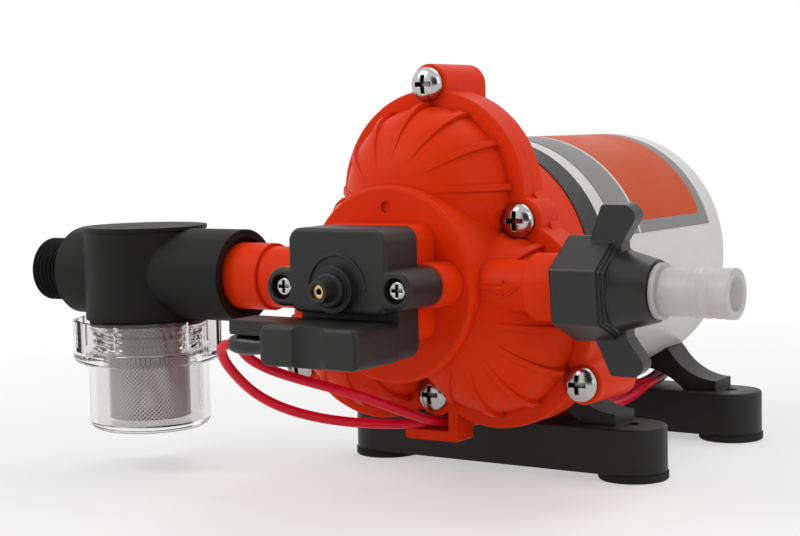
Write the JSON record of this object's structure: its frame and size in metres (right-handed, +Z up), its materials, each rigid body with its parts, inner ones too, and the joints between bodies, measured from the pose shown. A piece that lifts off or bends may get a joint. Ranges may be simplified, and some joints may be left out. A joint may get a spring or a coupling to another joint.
{
  "type": "caravan water pump",
  "caption": "Diaphragm water pump with a ribbed three-lobed head, round motor on a footed base, pressure switch, inlet strainer with clear bowl, and a hose barb held by a wing nut.",
  "frame": {"origin": "centre of the four mounting holes, on the surface the rubber feet stand on", "axes": "+X from the inlet strainer to the outlet barb, +Y from the pump head back to the motor's rear, +Z up"},
  "size_m": [0.2476, 0.2003, 0.1278],
  "materials": {
    "orange_plastic": "moulded, satin",
    "black_plastic": "moulded, satin",
    "black_rubber": "matt",
    "boot_vinyl": "glossy sleeve",
    "white_paint": "smooth powder coat",
    "label_film": "printed film, bare panels",
    "bright_steel": "polished",
    "plain_steel": "turned",
    "magnet_ferrite": "sintered",
    "copper": "enamelled wire and bars",
    "carbon": "pressed carbon",
    "pale_plastic": "moulded",
    "zinc_alloy": "die cast",
    "switch_block": "moulded",
    "brass": "turned",
    "red_insulation": "smooth sheath",
    "frosted_plastic": "translucent, frosted",
    "clear_plastic": "clear moulding",
    "screen_mesh": "woven wire"
  },
  "bodies": {
    "pump": {"base_bracket": "black_plastic", "rubber_feet": "black_rubber", "motor_can": "white_paint", "motor_label": "label_film", "front_end_bell": "black_plastic", "rear_end_cap": "black_plastic", "magnets": "magnet_ferrite", "brush_holder": "pale_plastic", "carbon_brushes": "carbon", "brush_springs": "plain_steel", "motor_through_bolts": "plain_steel", "front_bearing": "plain_steel", "rear_bearing": "plain_steel", "lead_grommet": "black_rubber", "drive_housing": "orange_plastic", "pump_head": "orange_plastic", "head_screws": "bright_steel", "valve_plate": "pale_plastic", "inlet_valves": "black_rubber", "outlet_valve": "black_rubber", "diaphragm": "black_rubber", "switch_body": "black_plastic", "switch_cover": "black_plastic", "switch_screws": "bright_steel", "switch_diaphragm": "black_rubber", "microswitch": "switch_block", "switch_terminals": "brass", "terminal_boots": "boot_vinyl", "switch_spring": "plain_steel", "upper_lead": "red_insulation", "lower_lead": "red_insulation", "strainer_body": "black_plastic", "inlet_gasket": "black_rubber", "barb_oring": "black_rubber"},
    "barb": {"hose_barb": "frosted_plastic"},
    "nut": {"wing_nut": "black_plastic"},
    "screen": {"strainer_screen": "screen_mesh", "screen_cap": "pale_plastic"},
    "bowl": {"strainer_bowl": "clear_plastic", "bowl_oring": "black_rubber"},
    "rotor": {"rotor_shaft": "plain_steel", "armature_core": "plain_steel", "armature_windings": "copper", "commutator": "copper", "drive_cam": "zinc_alloy", "cam_set_screw": "plain_steel"},
    "wobble": {"cam_bearing": "plain_steel", "wobble_plate": "pale_plastic", "pistons": "pale_plastic", "piston_screws": "plain_steel"},
    "plunger": {"switch_plunger": "pale_plastic"},
    "button": {"switch_button": "pale_plastic"},
    "seat": {"spring_seat": "zinc_alloy"},
    "adjuster": {"adjusting_screw": "brass"}
  },
  "joints": [
    {"name": "rotor_spin", "type": "hinge", "parent": "pump", "child": "rotor", "pos_m": [0, 0, 0.064], "axis": [0, 1, 0], "continuous": true},
    {"name": "wobble_turn", "type": "hinge", "parent": "rotor", "child": "wobble", "pos_m": [0, -0.0652, 0.064], "axis": [0, 0.9988, 0.0488], "continuous": true, "deforming": ["diaphragm"]},
    {"name": "plunger_slide", "type": "slide", "parent": "pump", "child": "plunger", "axis": [0, -1, 0], "range_m": [0, 0.001], "stiffness_N_per_m": 1500, "deforming": ["switch_spring"]},
    {"name": "button_slide", "type": "slide", "parent": "pump", "child": "button", "axis": [0, -1, 0], "range_m": [0, 0.0012]},
    {"name": "adjust_slide", "type": "slide", "parent": "pump", "child": "seat", "axis": [0, -1, 0], "range_m": [0, 0.001]},
    {"name": "adjust_turn", "type": "hinge", "parent": "seat", "child": "adjuster", "pos_m": [0, -0.13, 0.065], "axis": [0, -1, 0], "range_deg": [0, 720.1]},
    {"name": "barb_out", "type": "slide", "parent": "pump", "child": "barb", "axis": [1, 0, 0], "range_m": [0, 0.00726]},
    {"name": "nut_turn", "type": "hinge", "parent": "barb", "child": "nut", "pos_m": [0.06, -0.0925, 0.064], "axis": [1, 0, 0], "range_deg": [0, 1440.1]},
    {"name": "bowl_drop", "type": "slide", "parent": "pump", "child": "screen", "axis": [0, 0, -1], "range_m": [0, 0.00751]},
    {"name": "bowl_turn", "type": "hinge", "parent": "screen", "child": "bowl", "pos_m": [-0.1027, -0.0925, 0.03], "axis": [0, 0, -1], "range_deg": [0, 1080]}
  ],
  "couplings": [
    {"joint": "wobble_turn", "follows": "rotor_spin", "ratio": -1},
    {"joint": "button_slide", "follows": "plunger_slide", "ratio": 1},
    {"joint": "adjust_turn", "follows": "adjust_slide", "rad_per_m": 12566},
    {"joint": "nut_turn", "follows": "barb_out", "rad_per_m": 3463.7},
    {"joint": "bowl_drop", "follows": "bowl_turn", "m_per_rad": 0.00039789}
  ]
}
